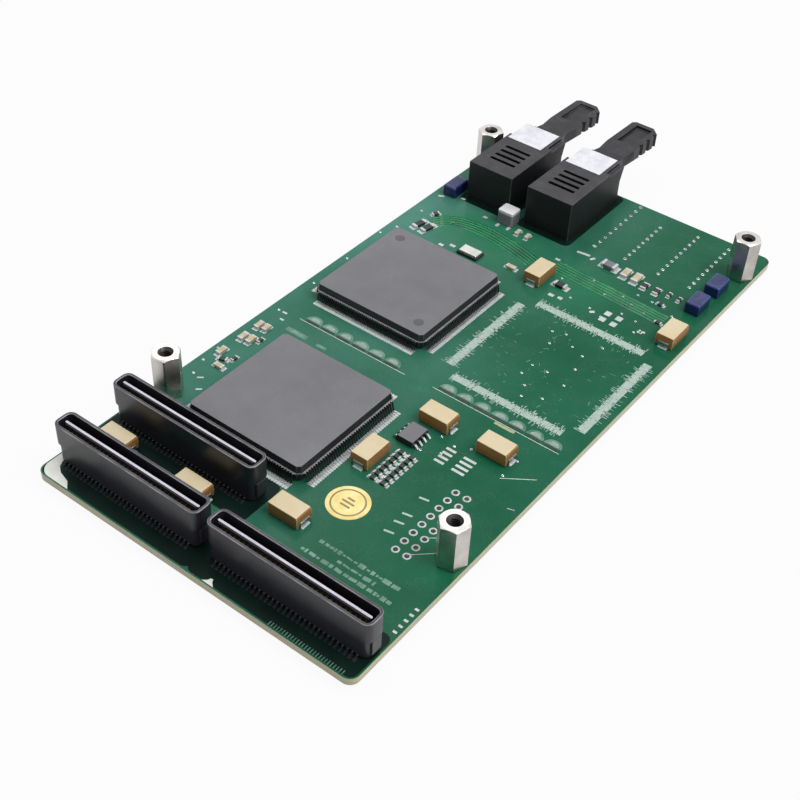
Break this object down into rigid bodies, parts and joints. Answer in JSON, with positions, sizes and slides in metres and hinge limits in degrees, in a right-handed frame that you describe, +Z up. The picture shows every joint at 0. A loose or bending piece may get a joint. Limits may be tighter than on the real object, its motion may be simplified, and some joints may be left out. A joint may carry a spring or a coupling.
{
  "type": "optical ethernet module",
  "caption": "Mezzanine network card: green board with board-to-board connectors, hexagonal standoffs, two flat chip packages and two optical transceivers with pull-out dust plugs.",
  "frame": {"origin": "under the middle of the whole module, in the plane that the screw heads rest on", "axes": "+Z up from the circuit board's component side, +Y towards the optical ports, +X to the right seen from behind the connectors"},
  "size_m": [0.074, 0.1688, 0.0132],
  "materials": {
    "board": "green solder mask, glossy",
    "shroud": "black moulded plastic, satin",
    "tongue": "pale grey moulded plastic",
    "contact": "gold flash",
    "standoff": "nickel plated",
    "screw": "zinc plated",
    "package": "grey black moulding compound",
    "lead": "tin plated",
    "capacitor": "tan moulded resin",
    "terminal": "tin plated",
    "housing": "black moulded plastic, fine grain",
    "inner_board": "green solder mask",
    "optics": "dark moulded plastic",
    "label": "white film",
    "plug": "black soft plastic",
    "ceramic": "dark ceramic",
    "lid": "nickel plated",
    "ferrite": "grey ferrite",
    "pale_cap": "white cap",
    "blue": "dark blue resin",
    "pin": "tin plated"
  },
  "bodies": {
    "module": {"circuit_board": "board", "standoff_screws": "screw", "front_controller_body": "package", "rear_controller_body": "package", "front_controller_leads": "lead", "rear_controller_leads": "lead", "capacitor_terminals": "terminal", "small_chip_body": "package", "small_chip_leads": "lead", "oscillator_base": "ceramic", "oscillator_lid": "lid", "inductor_body": "ferrite", "inductor_cap": "pale_cap", "blue_block_left": "blue", "blue_block_near": "blue", "blue_block_far": "blue", "standoff_rear_left": "standoff", "standoff_rear_right": "standoff", "standoff_front_left": "standoff", "standoff_front_right": "standoff", "rear_left_connector_shell": "shroud", "rear_left_connector_tongue": "tongue", "rear_left_connector_contacts": "contact", "rear_right_connector_shell": "shroud", "rear_right_connector_tongue": "tongue", "rear_right_connector_contacts": "contact", "inner_connector_shell": "shroud", "inner_connector_tongue": "tongue", "inner_connector_contacts": "contact", "capacitor_1_body": "capacitor", "capacitor_2_body": "capacitor", "capacitor_3_body": "capacitor", "capacitor_4_body": "capacitor", "capacitor_5_body": "capacitor", "capacitor_6_body": "capacitor", "capacitor_7_body": "capacitor", "capacitor_8_body": "capacitor", "left_transceiver_housing": "housing", "left_transceiver_base": "housing", "left_transceiver_pins": "pin", "left_transceiver_board": "inner_board", "left_transceiver_optics": "optics", "left_transceiver_label": "label", "right_transceiver_housing": "housing", "right_transceiver_base": "housing", "right_transceiver_pins": "pin", "right_transceiver_board": "inner_board", "right_transceiver_optics": "optics", "right_transceiver_label": "label"},
    "left_plug": {"left_dust_plug": "plug"},
    "right_plug": {"right_dust_plug": "plug"}
  },
  "joints": [
    {"name": "left_plug_slide", "type": "slide", "parent": "module", "child": "left_plug", "axis": [0, 1, 0], "range_m": [0, 0.014]},
    {"name": "right_plug_slide", "type": "slide", "parent": "module", "child": "right_plug", "axis": [0, 1, 0], "range_m": [0, 0.014]}
  ]
}
